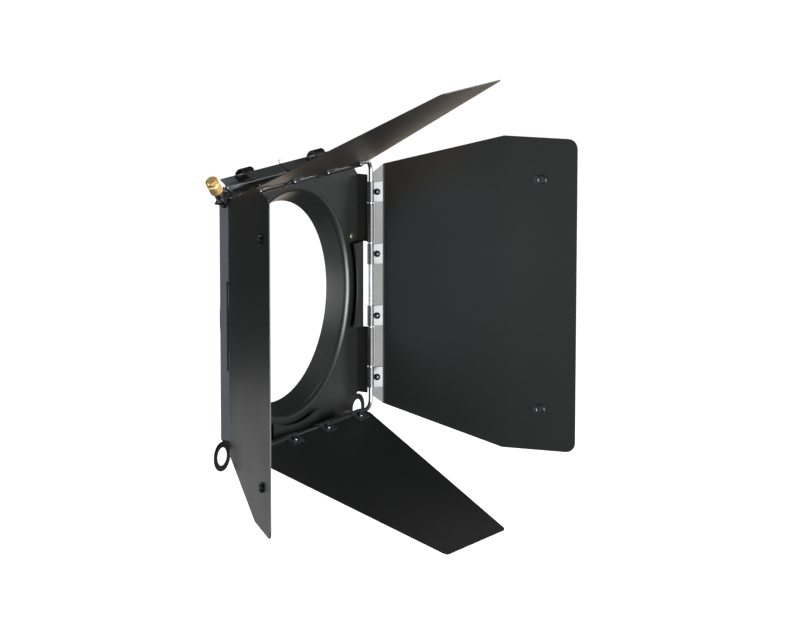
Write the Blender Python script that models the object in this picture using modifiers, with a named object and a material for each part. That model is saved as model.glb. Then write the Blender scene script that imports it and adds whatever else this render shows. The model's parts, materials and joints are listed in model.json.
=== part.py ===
"""Four-leaf barn door set for a studio spotlight, modelled in metres with +Z up.

The light shines towards -Y.  The origin is the centre of the round aperture, in the
rear face of the frame plate, where the set lies against the lamp's accessory holder.
A square loop of round wire is the hinge pin of all four leaves.
"""
from math import asin, atan2, cos, pi, radians, sin

import bmesh
import bpy
from mathutils import Matrix, Vector

MM = 0.001
GAP = 0.3 * MM                       # clearance kept between touching pieces

# frame plate, pressed from one sheet
FRAME_HALF = 123 * MM                # half of the square's side
SHEET = 1.2 * MM                     # steel thickness of the plate and its flanges
CORNER_CUT = 17 * MM                 # chamfer at the corners, left open beside the wire
BRACKET_CUT = 6 * MM                 # smaller chamfer behind the corner bracket, top left
LIP_RADIUS = 109 * MM                # where the flat plate turns into the collar
COLLAR_REAR_RADIUS = 95 * MM         # the collar narrows towards the lamp
COLLAR_DEPTH = 17.5 * MM
LIP_BEND = 5 * MM
LIP_LAP = 1.8 * MM                   # the collar's solid runs this far into the flat plate
EYELET_OUTER = 13.8 * MM             # rings at the bottom corners
EYELET_HOLE = 8.5 * MM
EYELET_PLACE = 122 * MM
TAB_ARC = 113.4 * MM                 # inner edge of the gel-frame tabs
TAB_FRONT = 7.2 * MM                 # front face of the tabs, before the rear face

# hinge wire and the knuckles on the frame
WIRE_HALF = 120 * MM                 # centre line to centre of the frame
WIRE_BEFORE = 17 * MM                # centre line in front of the rear face
WIRE_RADIUS = 2 * MM
WIRE_BEND = 9 * MM
BORE = WIRE_RADIUS + GAP
KNUCKLE_RADIUS = 3.2 * MM
KNUCKLE_INSET = 1.9 * MM             # the flange stops this far behind the wire's centre
KNUCKLE_FROM = 41.5 * MM             # each side has two knuckles, either side of its middle
KNUCKLE_TO = 78.5 * MM
FLANGE_END = 106 * MM                # the flanges stop short of the corners
FLANGE_DEPTH = 12 * MM

# leaves
LEAF_SHEET = 1.0 * MM
LEAF_ROOT = 2.6 * MM                 # root edge, measured from the wire's centre
LEAF_NOTCH = 4.2 * MM                # the same in the notches that clear the knuckles
NOTCH_SPARE = 1 * MM
SIDE_STRIP = 13.4 * MM               # wire to crease
SIDE_FOLD = radians(45)              # bend between the root strip and the panel
SIDE_ROOT_HALF = 108.5 * MM
SIDE_CREASE_HALF = 116.5 * MM
SIDE_KNEE = 121 * MM                 # crease to the end of the slanted edges
SIDE_WIDTH = 194 * MM                # crease to the free edge
SIDE_FREE_HALF = 150 * MM
END_ROOT_HALF = 110 * MM
END_LENGTH = 201 * MM
END_FREE_HALF = 56 * MM
LEAF_CORNER = 9 * MM

# where the leaves stand, as angles outwards from straight ahead
RIGHT_OPEN = radians(9.3)
LEFT_OPEN = radians(47.5)
TOP_OPEN = radians(29)
BOTTOM_OPEN = radians(24.7)

# clamps and screws that hang a leaf on the wire
CLAMP_PLACES = [-90 * MM, -30 * MM, 30 * MM, 90 * MM]
CLAMP_WIDTH = 19.5 * MM
CLAMP_SHEET = 0.8 * MM
CLAMP_REACH = 12 * MM
SCREW_PLACE = 6 * MM
SCREW_SHANK = 1.5 * MM
SCREW_HOLE = SCREW_SHANK + GAP
SCREW_HEAD = 3.2 * MM
SCREW_DOME = 2.6 * MM

# clips near the free edge of the side leaves
CLIP_PLACE = 160 * MM
CLIP_HEIGHT = 110 * MM

# gel slot in the top flange, and the sprung flap over it
SLOT_HALF = 98 * MM
SLOT_FRONT = 6.6 * MM
SLOT_REAR = 1.7 * MM
TOP_NOTCH = 9.5 * MM                 # depth of the top flange between its knuckles
EAR_TOP = 130.3 * MM
EAR_FRONT = 12 * MM
EAR_RIGHT = 104.5 * MM
PIN_BEFORE = 9.5 * MM
PIN_HEIGHT = 127.5 * MM
PIN_RADIUS = 1.2 * MM
FLAP_BARREL = 2.3 * MM
FLAP_LEFT = -119 * MM
FLAP_RIGHT = 103.4 * MM
FLAP_REACH = 12.5 * MM
FLAP_RISE = radians(38)
FLAP_SHEET = 1.0 * MM
SPRING_AT = -20 * MM
SPRING_SPACE = 7 * MM
SPRING_COIL = 2.1 * MM
SPRING_WIRE = 0.35 * MM
JAW_PLACES = [-97 * MM, 29 * MM]     # left ends of the two jaws
JAW_LENGTH = 18 * MM

# rivets
RIVET_SHANK = 1.2 * MM
BRACKET_RIVETS = [(12 * MM, 119.3 * MM), (7 * MM, 110.9 * MM)]
PLATE_RIVET = (111 * MM, 47.6 * MM)
PLATE_RIVET_SHANK = 1.8 * MM

# pull plunger outside the top left corner, in the plane of the plate
KNOB_CENTRE = (-144 * MM, -8 * MM, 132 * MM)
PLUNGER_TILT = radians(-39.5)        # its axis leans outwards from the vertical
KNOB_HALF = 8.2 * MM
KNOB_RADIUS = 5.9 * MM
BODY_FROM = -25 * MM                 # along the axis, from the knob's centre
BODY_TO = -10.5 * MM
BODY_RADIUS = 3.9 * MM
PLUNGER_PIN = 1.8 * MM
EAR_PLACE = -19 * MM

ROUND_STEPS = 24


# ---------------------------------------------------------------- scene helpers

for old in list(bpy.data.objects):
    bpy.data.objects.remove(old, do_unlink=True)
parts = bpy.data.collections.new("barn_door_set")
bpy.context.scene.collection.children.link(parts)


def material(name, colour, roughness, metallic):
    made = bpy.data.materials.new(name)
    made.use_nodes = True
    shader = made.node_tree.nodes["Principled BSDF"]
    shader.inputs["Base Color"].default_value = (*colour, 1)
    shader.inputs["Roughness"].default_value = roughness
    shader.inputs["Metallic"].default_value = metallic
    made.diffuse_color = (*colour, 1)
    return made


FRAME_PAINT = material("satin black frame paint", (0.020, 0.021, 0.022), 0.38, 0.0)
LEAF_PAINT = material("matt black leaf paint", (0.014, 0.014, 0.014), 0.55, 0.0)
WIRE_STEEL = material("blackened wire", (0.10, 0.10, 0.105), 0.30, 1.0)
SCREW_STEEL = material("black screw steel", (0.05, 0.05, 0.052), 0.32, 1.0)
FLAP_PAINT = material("grey flap steel", (0.09, 0.095, 0.10), 0.45, 0.0)
SPRING_STEEL = material("dark spring steel", (0.03, 0.03, 0.03), 0.35, 1.0)
BRASS = material("turned brass", (0.72, 0.50, 0.18), 0.30, 1.0)


def keep(obj, name, finish):
    """Name a finished piece, give it its material and put it in the parts collection."""
    obj.name = name
    obj.data.name = name
    obj.data.materials.clear()
    obj.data.materials.append(finish)
    for collection in list(obj.users_collection):
        collection.objects.unlink(obj)
    parts.objects.link(obj)
    return obj


def mesh_object(name, bm, matrix=Matrix()):
    bm.transform(matrix)
    bmesh.ops.remove_doubles(bm, verts=bm.verts, dist=1e-6)
    bmesh.ops.recalc_face_normals(bm, faces=bm.faces)
    mesh = bpy.data.meshes.new(name)
    bm.to_mesh(mesh)
    bm.free()
    obj = bpy.data.objects.new(name, mesh)
    bpy.context.scene.collection.objects.link(obj)
    return obj


def box(low, high):
    bm = bmesh.new()
    size = Vector(high) - Vector(low)
    centre = (Vector(high) + Vector(low)) / 2
    bmesh.ops.create_cube(bm, size=1, matrix=Matrix.Translation(centre) @ Matrix.Diagonal((*size, 1)))
    return mesh_object("box", bm)


def rod(start, end, radius, steps=ROUND_STEPS):
    """A closed cylinder between two points."""
    start = Vector(start)
    end = Vector(end)
    turn = Vector((0, 0, 1)).rotation_difference(end - start).to_matrix().to_4x4()
    bm = bmesh.new()
    bmesh.ops.create_cone(bm, cap_ends=True, segments=steps, radius1=radius, radius2=radius,
                          depth=(end - start).length,
                          matrix=Matrix.Translation((start + end) / 2) @ turn)
    return mesh_object("rod", bm)


def curve_to_mesh(curve_obj):
    """Freeze a curve object as a welded mesh object in the same place."""
    graph = bpy.context.evaluated_depsgraph_get()
    mesh = bpy.data.meshes.new_from_object(curve_obj.evaluated_get(graph))
    place = curve_obj.matrix_world.copy()
    bpy.data.objects.remove(curve_obj, do_unlink=True)
    bm = bmesh.new()
    bm.from_mesh(mesh)
    bpy.data.meshes.remove(mesh)
    return mesh_object("frozen", bm, place)


def outline_curve(loops, thickness, matrix):
    """A flat outline, with any holes, as a filled 2D curve of the given thickness."""
    data = bpy.data.curves.new("outline", "CURVE")
    data.dimensions = "2D"
    data.fill_mode = "BOTH"
    data.extrude = thickness / 2
    for points in loops:
        spline = data.splines.new("POLY")
        spline.points.add(len(points) - 1)
        for place, (x, y) in zip(spline.points, points):
            place.co = (x, y, 0, 1)
        spline.use_cyclic_u = True
    obj = bpy.data.objects.new("outline", data)
    obj.matrix_world = matrix
    bpy.context.scene.collection.objects.link(obj)
    bpy.context.view_layer.update()
    return obj


def sheet_piece(loops, thickness, matrix):
    return curve_to_mesh(outline_curve(loops, thickness, matrix))


def arc(centre, radius, start, end, steps):
    """Points along an arc, with angles in radians, both ends included."""
    turns = [start + (end - start) * i / steps for i in range(steps + 1)]
    return [(centre[0] + radius * cos(t), centre[1] + radius * sin(t)) for t in turns]


def rounded(corners):
    """Points of a closed outline whose corners are (x, y, corner radius)."""
    points = []
    count = len(corners)
    for i, (x, y, radius) in enumerate(corners):
        here = Vector((x, y))
        if radius == 0:
            points.append((x, y))
            continue
        before = (Vector(corners[i - 1][:2]) - here).normalized()
        after = (Vector(corners[(i + 1) % count][:2]) - here).normalized()
        half = before.angle(after) / 2
        centre = here + (before + after).normalized() * radius / sin(half)
        first = here + before * radius / (sin(half) / cos(half))
        last = here + after * radius / (sin(half) / cos(half))
        start = atan2(*(first - centre).yx)
        sweep = (atan2(*(last - centre).yx) - start + pi) % (2 * pi) - pi
        points += arc(centre, radius, start, start + sweep, 5)
    return points


def turned(profile, matrix, steps=ROUND_STEPS):
    """Spin a closed (radius, height) profile about local Z into one solid."""
    bm = bmesh.new()
    ring = [bm.verts.new((r, 0, h)) for r, h in profile]
    pairs = [(ring[i - 1], ring[i]) for i in range(len(ring))]
    edges = [bm.edges.new(pair) for pair in pairs if pair[0].co.x + pair[1].co.x > 0]
    bmesh.ops.spin(bm, geom=ring + edges, cent=(0, 0, 0), axis=(0, 0, 1), angle=2 * pi,
                   steps=steps, use_merge=True)
    return mesh_object("turned", bm, matrix)


def apply_boolean(target, tool, operation):
    """Join or cut with the exact solver, and remove the tool."""
    modifier = target.modifiers.new("shape", "BOOLEAN")
    modifier.operation = operation
    modifier.solver = "EXACT"
    modifier.object = tool
    bpy.context.view_layer.update()
    graph = bpy.context.evaluated_depsgraph_get()
    mesh = bpy.data.meshes.new_from_object(target.evaluated_get(graph))
    target.modifiers.clear()
    old = target.data
    target.data = mesh
    bpy.data.meshes.remove(old)
    bpy.data.objects.remove(tool, do_unlink=True)
    return target


def union(target, tool):
    return apply_boolean(target, tool, "UNION")


def cut(target, tool):
    return apply_boolean(target, tool, "DIFFERENCE")


def pose(obj, parent):
    """Parent without moving, so that the piece follows its hinge empty."""
    obj.parent = parent
    obj.matrix_parent_inverse = parent.matrix_world.inverted()
    return obj


def pivot(name, place):
    empty = bpy.data.objects.new(name, None)
    empty.location = place
    parts.objects.link(empty)
    bpy.context.view_layer.update()
    return empty


# local frames: XZ of the plate as a drawing plane, whose normal is -Y
FACE = Matrix.Rotation(pi / 2, 4, "X")
SIDES = {"right": 0, "top": -pi / 2, "left": pi, "bottom": pi / 2}


def side_turn(side):
    """Rotation about Y that carries the right-hand side of the frame to another side."""
    return Matrix.Rotation(SIDES[side], 4, "Y")


# ---------------------------------------------------------------- frame plate

def plate_blank():
    half = FRAME_HALF - 0.3 * MM
    low = half - CORNER_CUT
    left = half - BRACKET_CUT
    corners = [(-low, -half, 2 * MM), (low, -half, 2 * MM), (half, -low, 2 * MM), (half, low, 2 * MM),
               (low, half, 2 * MM), (-left, half, 2 * MM), (-half, left, 2 * MM),
               (-half, -low, 2 * MM)]
    hole = arc((0, 0), LIP_RADIUS + 0.7 * MM, 0, 2 * pi, 96)[:-1]
    place = Matrix.Translation((0, -SHEET / 2, 0)) @ FACE
    return sheet_piece([rounded(corners), hole], SHEET, place)


def collar():
    """Rolled lip and narrowing wall of the aperture, turned about Y."""
    wall = SHEET - 0.4 * MM
    front = SHEET - 0.2 * MM
    middle = front - LIP_BEND
    small = LIP_BEND - wall
    profile = [(LIP_RADIUS + LIP_LAP, front)]
    profile += [(LIP_RADIUS - LIP_BEND * sin(t), middle + LIP_BEND * cos(t))
                for t in (i * pi / 10 for i in range(6))]
    profile.append((COLLAR_REAR_RADIUS, -COLLAR_DEPTH))
    profile.append((COLLAR_REAR_RADIUS + wall, -COLLAR_DEPTH))
    profile += [(LIP_RADIUS - small * sin(t), middle + small * cos(t))
                for t in (i * pi / 6 for i in range(3, -1, -1))]
    profile.append((LIP_RADIUS + LIP_LAP, front - wall))
    return turned(profile, Matrix.Rotation(pi / 2, 4, "X"), 96)


def flange(side):
    """Side wall of the frame, stepped for the knuckles and the gel-frame tab."""
    deep = WIRE_BEFORE - KNUCKLE_INSET
    middle = TOP_NOTCH if side == "top" else TAB_FRONT
    steps = [(FLANGE_END, 0.6 * MM), (FLANGE_END, FLANGE_DEPTH), (KNUCKLE_TO, FLANGE_DEPTH),
             (KNUCKLE_TO, deep), (KNUCKLE_FROM, deep), (KNUCKLE_FROM, middle)]
    outline = steps + [(-z, y) for z, y in reversed(steps)]
    # drawing plane: x along the side, y forwards; the normal is the frame's outward axis
    upright = Matrix(((0, 0, 1, FRAME_HALF - SHEET / 2), (0, -1, 0, 0), (1, 0, 0, 0), (0, 0, 0, 1)))
    return sheet_piece([outline], SHEET, side_turn(side) @ upright)


def knuckle(side, sign):
    ends = sorted((sign * KNUCKLE_FROM, sign * KNUCKLE_TO))
    turn = side_turn(side)
    start = turn @ Vector((WIRE_HALF, -WIRE_BEFORE, ends[0]))
    end = turn @ Vector((WIRE_HALF, -WIRE_BEFORE, ends[1]))
    return rod(start, end, KNUCKLE_RADIUS)


def wire_bore(side):
    turn = side_turn(side)
    reach = FLANGE_END + 2 * MM
    start = turn @ Vector((WIRE_HALF, -WIRE_BEFORE, -reach))
    end = turn @ Vector((WIRE_HALF, -WIRE_BEFORE, reach))
    return rod(start, end, BORE)


def gel_tab(side):
    """Tongue bent in from the flange, parallel to the plate, that holds a gel frame."""
    low = asin((KNUCKLE_FROM - 0.4 * MM) / TAB_ARC)
    inner = arc((0, 0), TAB_ARC, -low, low, 10)
    foot = FRAME_HALF - 0.5 * MM
    half = KNUCKLE_FROM - 0.4 * MM
    outline = inner + [(foot, half), (foot, -half)]
    place = Matrix.Translation((0, -(TAB_FRONT - 0.3 * MM - SHEET / 2), 0)) @ FACE
    return sheet_piece([outline], SHEET, side_turn(side) @ place)


# drawing plane of upright sheets: x is the depth, y the height and the normal is +X
UPRIGHT = Matrix(((0, 0, 1, 0), (1, 0, 0, 0), (0, 1, 0, 0), (0, 0, 0, 1)))


def upright_sheet(outline, middle, thickness=SHEET):
    return sheet_piece([outline], thickness, Matrix.Translation((middle, 0, 0)) @ UPRIGHT)


def left_foot():
    """Tall end of the left flange, which holds the corner bracket and one end of the flap's pin."""
    outline = [(-0.6 * MM, 104 * MM), (-0.6 * MM, 116.5 * MM), (-6.3 * MM, 124 * MM),
               (-6.3 * MM, EAR_TOP), (-EAR_FRONT, EAR_TOP), (-14.8 * MM, 124 * MM),
               (-14.8 * MM, 113.5 * MM), (-11.6 * MM, 110 * MM), (-11.6 * MM, 104 * MM)]
    return upright_sheet(outline, -FRAME_HALF + SHEET / 2, SHEET - 0.3 * MM)


def right_ear():
    """Small ear on the top flange for the other end of the flap's pin."""
    foot = FRAME_HALF - SHEET + 0.3 * MM
    front = -EAR_FRONT + 0.3 * MM
    outline = [(front, foot), (-7.3 * MM, foot), (-7.3 * MM, EAR_TOP), (front, EAR_TOP)]
    return upright_sheet(outline, EAR_RIGHT)


def frame_plate():
    plate = union(plate_blank(), collar())
    for side in SIDES:
        union(plate, flange(side))
        if side != "top":
            union(plate, gel_tab(side))
        for sign in (-1, 1):
            union(plate, knuckle(side, sign))
        cut(plate, wire_bore(side))
    union(plate, left_foot())
    union(plate, right_ear())
    cut(plate, box((-SLOT_HALF, -SLOT_FRONT, FRAME_HALF - 3 * MM),
                   (SLOT_HALF, -SLOT_REAR, FRAME_HALF + 2 * MM)))
    reach = FRAME_HALF + 3 * MM
    cut(plate, rod((-reach, -PIN_BEFORE, PIN_HEIGHT), (reach, -PIN_BEFORE, PIN_HEIGHT),
                   PIN_RADIUS + GAP, 16))
    for y, height in BRACKET_RIVETS:
        cut(plate, rod((-FRAME_HALF - 3 * MM, -y, height), (-FRAME_HALF + 3 * MM, -y, height),
                       RIVET_SHANK + GAP, 16))
    for sign in (-1, 1):
        x = sign * EYELET_PLACE
        z = -EYELET_PLACE
        union(plate, rod((x, -SHEET + 0.2 * MM, z), (x, -0.2 * MM, z), EYELET_OUTER, 40))
        cut(plate, rod((x, -14 * MM, z), (x, 4 * MM, z), EYELET_HOLE, 32))
        x = sign * PLATE_RIVET[0]
        z = PLATE_RIVET[1]
        cut(plate, rod((x, -4 * MM, z), (x, 4 * MM, z), PLATE_RIVET_SHANK + GAP, 16))
    return keep(plate, "frame_plate", FRAME_PAINT)


# ---------------------------------------------------------------- wire and rivets

def hinge_wire():
    """One rod bent into a square loop, the hinge pin of every leaf."""
    data = bpy.data.curves.new("wire", "CURVE")
    data.dimensions = "3D"
    data.bevel_depth = WIRE_RADIUS
    data.bevel_resolution = 3
    half = WIRE_HALF
    corners = [(-half, -half, WIRE_BEND), (half, -half, WIRE_BEND),
               (half, half, WIRE_BEND), (-half, half, WIRE_BEND)]
    points = rounded(corners)
    spline = data.splines.new("POLY")
    spline.points.add(len(points) - 1)
    for place, (x, z) in zip(spline.points, points):
        place.co = (x, -WIRE_BEFORE, z, 1)
    spline.use_cyclic_u = True
    obj = bpy.data.objects.new("wire", data)
    bpy.context.scene.collection.objects.link(obj)
    bpy.context.view_layer.update()
    return keep(curve_to_mesh(obj), "hinge_wire", WIRE_STEEL)


def rivet(shank, head, dome, grip, matrix):
    """Dome-headed rivet along local Z, its head above the grip and its upset tail below."""
    profile = [(0, grip / 2 + dome), (head * 0.55, grip / 2 + dome * 0.86),
               (head * 0.88, grip / 2 + dome * 0.5), (head, grip / 2), (shank, grip / 2),
               (shank, -grip / 2), (head * 0.85, -grip / 2), (head * 0.7, -grip / 2 - dome * 0.8),
               (0, -grip / 2 - dome * 0.8)]
    return turned(profile, matrix, 16)


def fixed_rivets():
    outwards = Matrix.Rotation(-pi / 2, 4, "Y")
    grip = 2 * SHEET + 3 * GAP
    for number, (y, height) in enumerate(BRACKET_RIVETS, 1):
        place = Matrix.Translation((-FRAME_HALF - GAP / 2, -y, height)) @ outwards
        keep(rivet(RIVET_SHANK, 2 * MM, 0.8 * MM, grip, place), f"bracket_rivet_{number}", SCREW_STEEL)
    for side, sign in (("left", -1), ("right", 1)):
        place = Matrix.Translation((sign * PLATE_RIVET[0], -SHEET / 2, PLATE_RIVET[1])) @ FACE
        keep(rivet(PLATE_RIVET_SHANK, 3.2 * MM, 0.9 * MM, SHEET + 2 * GAP, place),
             f"plate_rivet_{side}", BRASS)


# ---------------------------------------------------------------- leaves

def leaf_place(side, angle):
    """Frame of a leaf at its hinge: X away from the wire, Y along it, Z to its inner face."""
    turn = side_turn(side)
    out = turn @ Vector((1, 0, 0))
    away = out * sin(angle) + Vector((0, -1, 0)) * cos(angle)
    along = turn @ Vector((0, 0, 1))
    inner = away.cross(along)
    hinge = turn @ Vector((WIRE_HALF, -WIRE_BEFORE, 0))
    place = Matrix((away, along, inner)).transposed().to_4x4()
    place.translation = hinge
    return place


def fold(obj, at, bend):
    """Crease a flat blank along x = at and carry what lies beyond it by the bend."""
    bm = bmesh.new()
    bm.from_mesh(obj.data)
    bmesh.ops.bisect_plane(bm, geom=list(bm.verts) + list(bm.edges) + list(bm.faces), dist=1e-6,
                           plane_co=(at, 0, 0), plane_no=(1, 0, 0))
    beyond = [v for v in bm.verts if v.co.x > at + 1e-6]
    bmesh.ops.transform(bm, matrix=bend, verts=beyond)
    bm.to_mesh(obj.data)
    bm.free()
    return obj


def flat_blank(corners):
    blank = curve_to_mesh(outline_curve([rounded(corners)], 0, Matrix()))
    bm = bmesh.new()
    bm.from_mesh(blank.data)
    bmesh.ops.dissolve_limit(bm, angle_limit=radians(1), verts=bm.verts, edges=bm.edges)
    bm.to_mesh(blank.data)
    bm.free()
    return blank


def thicken(obj, thickness):
    modifier = obj.modifiers.new("sheet", "SOLIDIFY")
    modifier.thickness = thickness
    modifier.offset = 0
    modifier.use_even_offset = True
    bpy.context.view_layer.update()
    graph = bpy.context.evaluated_depsgraph_get()
    mesh = bpy.data.meshes.new_from_object(obj.evaluated_get(graph))
    obj.modifiers.clear()
    old = obj.data
    obj.data = mesh
    bpy.data.meshes.remove(old)
    return obj


def root_edge(half):
    """Half of a leaf's root edge, from its outer end to the middle, notched at the knuckle."""
    low = KNUCKLE_FROM - NOTCH_SPARE
    high = KNUCKLE_TO + NOTCH_SPARE
    return [(LEAF_ROOT, half, 0.8 * MM), (LEAF_ROOT, high, 0), (LEAF_NOTCH, high, 0),
            (LEAF_NOTCH, low, 0), (LEAF_ROOT, low, 0)]


def whole_outline(free, half):
    """Closed outline from the points of one side's free edges and of its root edge."""
    points = list(reversed(root_edge(half))) + free
    return [(x, -z, r) for x, z, r in points] + [(x, z, r) for x, z, r in reversed(points)]


def side_leaf(name, place):
    """Flared side leaf; place is the frame of its root strip."""
    crease = SIDE_STRIP
    knee = crease + SIDE_KNEE
    free = crease + SIDE_WIDTH
    edges = [(crease, SIDE_CREASE_HALF, 0), (knee, SIDE_FREE_HALF, 4 * MM),
             (free, SIDE_FREE_HALF, LEAF_CORNER)]
    blank = flat_blank(whole_outline(edges, SIDE_ROOT_HALF))
    # the strip stays in the local XY plane and the panel leans towards the light
    bend = (Matrix.Translation((crease, 0, 0)) @ Matrix.Rotation(-SIDE_FOLD, 4, "Y")
            @ Matrix.Translation((-crease, 0, 0)))
    fold(blank, crease, bend)
    leaf = thicken(blank, LEAF_SHEET)
    leaf.matrix_world = place
    for z in CLAMP_PLACES:
        cut(leaf, rod(place @ Vector((SCREW_PLACE, z, -5 * MM)), place @ Vector((SCREW_PLACE, z, 5 * MM)),
                      SCREW_HOLE, 16))
    panel = place @ bend
    for sign in (-1, 1):
        spot = (crease + CLIP_PLACE, sign * CLIP_HEIGHT)
        cut(leaf, rod(panel @ Vector((*spot, -5 * MM)), panel @ Vector((*spot, 5 * MM)),
                      SCREW_HOLE, 16))
    keep(leaf, name, LEAF_PAINT)
    return leaf, panel


def end_leaf(name, place):
    """Flat top or bottom leaf that narrows towards its free edge."""
    edges = [(LEAF_ROOT + 3 * MM, END_ROOT_HALF, 2.5 * MM), (END_LENGTH, END_FREE_HALF, LEAF_CORNER * 0.6)]
    leaf = thicken(flat_blank(whole_outline(edges, END_ROOT_HALF - 2 * MM)), LEAF_SHEET)
    leaf.matrix_world = place
    for z in CLAMP_PLACES:
        cut(leaf, rod(place @ Vector((SCREW_PLACE, z, -5 * MM)), place @ Vector((SCREW_PLACE, z, 5 * MM)),
                      SCREW_HOLE, 16))
    return keep(leaf, name, LEAF_PAINT)


def clamp_mesh():
    """Strip folded round the wire, with a leg on each face of the leaf."""
    inner = LEAF_SHEET / 2 + GAP
    outer = inner + CLAMP_SHEET
    wrap = BORE + CLAMP_SHEET
    outside = asin(outer / wrap)
    inside = asin(inner / BORE)
    outline = [(CLAMP_REACH, outer)] + arc((0, 0), wrap, outside, 2 * pi - outside, 14)
    outline += [(CLAMP_REACH, -outer), (CLAMP_REACH, -inner)]
    outline += arc((0, 0), BORE, 2 * pi - inside, inside, 12)
    outline += [(CLAMP_REACH, inner)]
    # drawing plane is local XZ, extruded along the wire
    clamp = sheet_piece([outline], CLAMP_WIDTH, Matrix())
    clamp.data.transform(Matrix.Rotation(pi / 2, 4, "X"))
    cut(clamp, rod((SCREW_PLACE, 0, -5 * MM), (SCREW_PLACE, 0, 5 * MM), SCREW_HOLE, 16))
    mesh = clamp.data
    bpy.data.objects.remove(clamp, do_unlink=True)
    return mesh


def screw_mesh():
    """Dome-headed screw with its nut, as one turned piece along local Z."""
    seat = LEAF_SHEET / 2 + GAP + CLAMP_SHEET + GAP
    profile = [(0, seat + SCREW_DOME)]
    profile += [(SCREW_HEAD * sin(t), seat + SCREW_DOME * cos(t)) for t in (pi / 6, pi / 3, pi / 2)]
    profile += [(SCREW_SHANK, seat), (SCREW_SHANK, -seat), (2.6 * MM, -seat),
                (2.6 * MM, -seat - 1.7 * MM), (SCREW_SHANK, -seat - 1.7 * MM),
                (SCREW_SHANK * 0.8, -seat - 2.3 * MM), (0, -seat - 2.3 * MM)]
    screw = turned(profile, Matrix(), 16)
    mesh = screw.data
    bpy.data.objects.remove(screw, do_unlink=True)
    return mesh


def copy_of(mesh, name, place, finish):
    obj = bpy.data.objects.new(name, mesh.copy())
    obj.matrix_world = place
    parts.objects.link(obj)
    return keep(obj, name, finish)


def hang_leaf(name, place, clamp, screw):
    """Clamps and screws of one leaf, numbered along the wire."""
    pieces = []
    for number, z in enumerate(CLAMP_PLACES, 1):
        spot = place @ Matrix.Translation((0, z, 0))
        pieces.append(copy_of(clamp, f"{name}_clamp_{number}", spot, FRAME_PAINT))
        spot = place @ Matrix.Translation((SCREW_PLACE, z, 0))
        pieces.append(copy_of(screw, f"{name}_screw_{number}", spot, SCREW_STEEL))
    return pieces


def panel_clip(name, place):
    """Holding strip on the outer face, riveted to a keyhole tab on the inner face."""
    face = LEAF_SHEET / 2 + GAP
    tab = sheet_piece([rounded([(-9 * MM, -4 * MM, 1 * MM), (4 * MM, -4 * MM, 3.9 * MM),
                                (4 * MM, 4 * MM, 3.9 * MM), (-9 * MM, 4 * MM, 1 * MM)])],
                      1 * MM, Matrix.Translation((0, 0, face + 0.5 * MM)))
    strip = sheet_piece([rounded([(-18 * MM, -5.5 * MM, 3 * MM), (18 * MM, -5.5 * MM, 3 * MM),
                                  (18 * MM, 5.5 * MM, 3 * MM), (-18 * MM, 5.5 * MM, 3 * MM)])],
                        1.2 * MM, Matrix.Translation((0, 0, -face - 0.6 * MM)))
    # dished rivet head inside, stepped hub outside
    rivet = [(0, face + 1.7 * MM), (2 * MM, face + 1.9 * MM), (3.6 * MM, face + 2.7 * MM),
             (4.3 * MM, face + 2.4 * MM), (4.6 * MM, face + 0.5 * MM), (SCREW_SHANK, face + 0.4 * MM),
             (SCREW_SHANK, -face - 0.8 * MM), (4.25 * MM, -face - 0.9 * MM),
             (4.25 * MM, -face - 2.9 * MM), (3.5 * MM, -face - 3.2 * MM),
             (3.5 * MM, -face - 4.7 * MM), (0, -face - 4.7 * MM)]
    union(tab, strip)
    union(tab, turned(rivet, Matrix(), 20))
    tab.matrix_world = place
    return keep(tab, name, FRAME_PAINT)


# ---------------------------------------------------------------- corner bracket and flap

def plunger_frame():
    """Frame of the plunger at the knob's centre, with Z along its axis."""
    return Matrix.Translation(KNOB_CENTRE) @ Matrix.Rotation(PLUNGER_TILT, 4, "Y")


def corner_bracket():
    """Sheet riveted outside the left flange, with the bent tab that carries the plunger."""
    wall = [(-11 * MM, 104.5 * MM), (-2.6 * MM, 104.5 * MM), (-2.6 * MM, 122 * MM),
            (-5 * MM, 128.6 * MM), (-14.5 * MM, 121.6 * MM), (-14.5 * MM, 117 * MM),
            (-11 * MM, 112.5 * MM)]
    bracket = upright_sheet(wall, -FRAME_HALF - GAP - SHEET / 2)
    axis = plunger_frame()
    tab = box((-5.2 * MM, -4.7 * MM, EAR_PLACE - SHEET / 2), (9.8 * MM, 4.7 * MM, EAR_PLACE + SHEET / 2))
    tab.data.transform(axis)
    union(bracket, tab)
    cut(bracket, rod(axis @ Vector((0, 0, EAR_PLACE - 3 * MM)), axis @ Vector((0, 0, EAR_PLACE + 3 * MM)),
                     BODY_RADIUS + GAP))
    for y, height in BRACKET_RIVETS:
        cut(bracket, rod((-FRAME_HALF + 1 * MM, -y, height), (-FRAME_HALF - 4 * MM, -y, height),
                         RIVET_SHANK + GAP, 16))
    return keep(bracket, "corner_bracket", FRAME_PAINT)


def flap_pin():
    left = -FRAME_HALF - 0.1 * MM
    head = EAR_RIGHT + SHEET / 2 + GAP
    profile = [(0, left), (PIN_RADIUS, left), (PIN_RADIUS, head), (2 * MM, head),
               (2 * MM, head + 1.4 * MM), (0, head + 1.4 * MM)]
    place = Matrix.Translation((0, -PIN_BEFORE, PIN_HEIGHT)) @ Matrix.Rotation(pi / 2, 4, "Y")
    return keep(turned(profile, place, 16), "flap_pin", WIRE_STEEL)


def flap_frame():
    """Frame of the flap: X along the pin, Y up its slope, Z out of its upper face."""
    return Matrix.Translation((0, -PIN_BEFORE, PIN_HEIGHT)) @ Matrix.Rotation(FLAP_RISE, 4, "X")


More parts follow.
